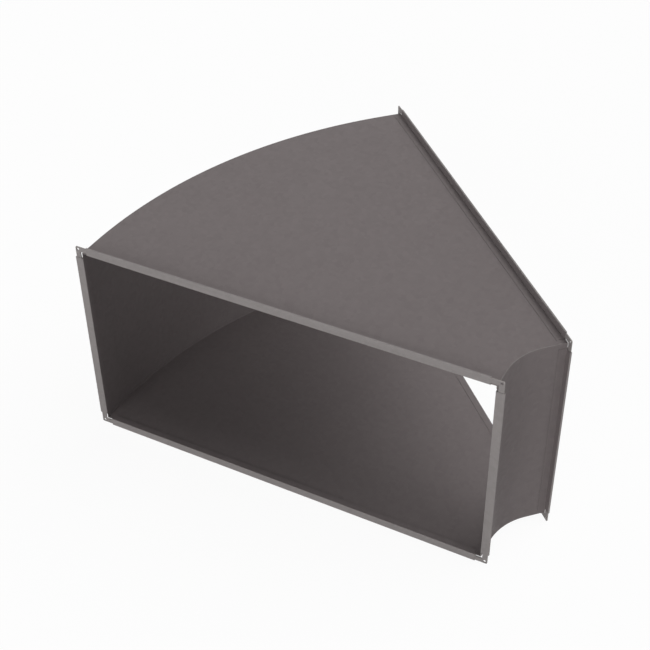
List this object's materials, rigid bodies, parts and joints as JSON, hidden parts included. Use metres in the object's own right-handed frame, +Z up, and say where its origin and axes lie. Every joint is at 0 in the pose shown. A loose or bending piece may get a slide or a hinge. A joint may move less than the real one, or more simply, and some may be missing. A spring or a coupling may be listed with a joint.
{
  "type": "rectangular duct bend",
  "caption": "Rectangular sheet-steel ventilation duct bend with a wide flat section, a rounded throat and heel, and a slip-on flange frame with bolted corner plates at each end.",
  "frame": {"origin": "the centre of the inlet opening, in the plane of the inlet frame's face", "axes": "+Y runs into the duct from the inlet, +X points to the throat side that the air turns towards, and +Z is up, along the bend's axis and square to the cheeks"},
  "size_m": [1.1127, 0.9149, 0.5382],
  "materials": {
    "duct_sheet": "galvanised steel sheet, dull warm grey",
    "frame_strip": "galvanised roll-formed strip, a shade lighter than the sheet",
    "corner_plate": "galvanised pressed plate"
  },
  "bodies": {
    "root": {"cheek_top": "duct_sheet", "cheek_bottom": "duct_sheet", "heel_panel": "duct_sheet", "throat_panel": "duct_sheet", "inlet_profile_top": "frame_strip", "inlet_profile_bottom": "frame_strip", "inlet_profile_heel": "frame_strip", "inlet_profile_throat": "frame_strip", "inlet_corner_top_heel": "corner_plate", "inlet_corner_top_throat": "corner_plate", "inlet_corner_bottom_heel": "corner_plate", "inlet_corner_bottom_throat": "corner_plate", "outlet_profile_top": "frame_strip", "outlet_profile_bottom": "frame_strip", "outlet_profile_heel": "frame_strip", "outlet_profile_throat": "frame_strip", "outlet_corner_top_heel": "corner_plate", "outlet_corner_top_throat": "corner_plate", "outlet_corner_bottom_heel": "corner_plate", "outlet_corner_bottom_throat": "corner_plate"}
  },
  "joints": []
}
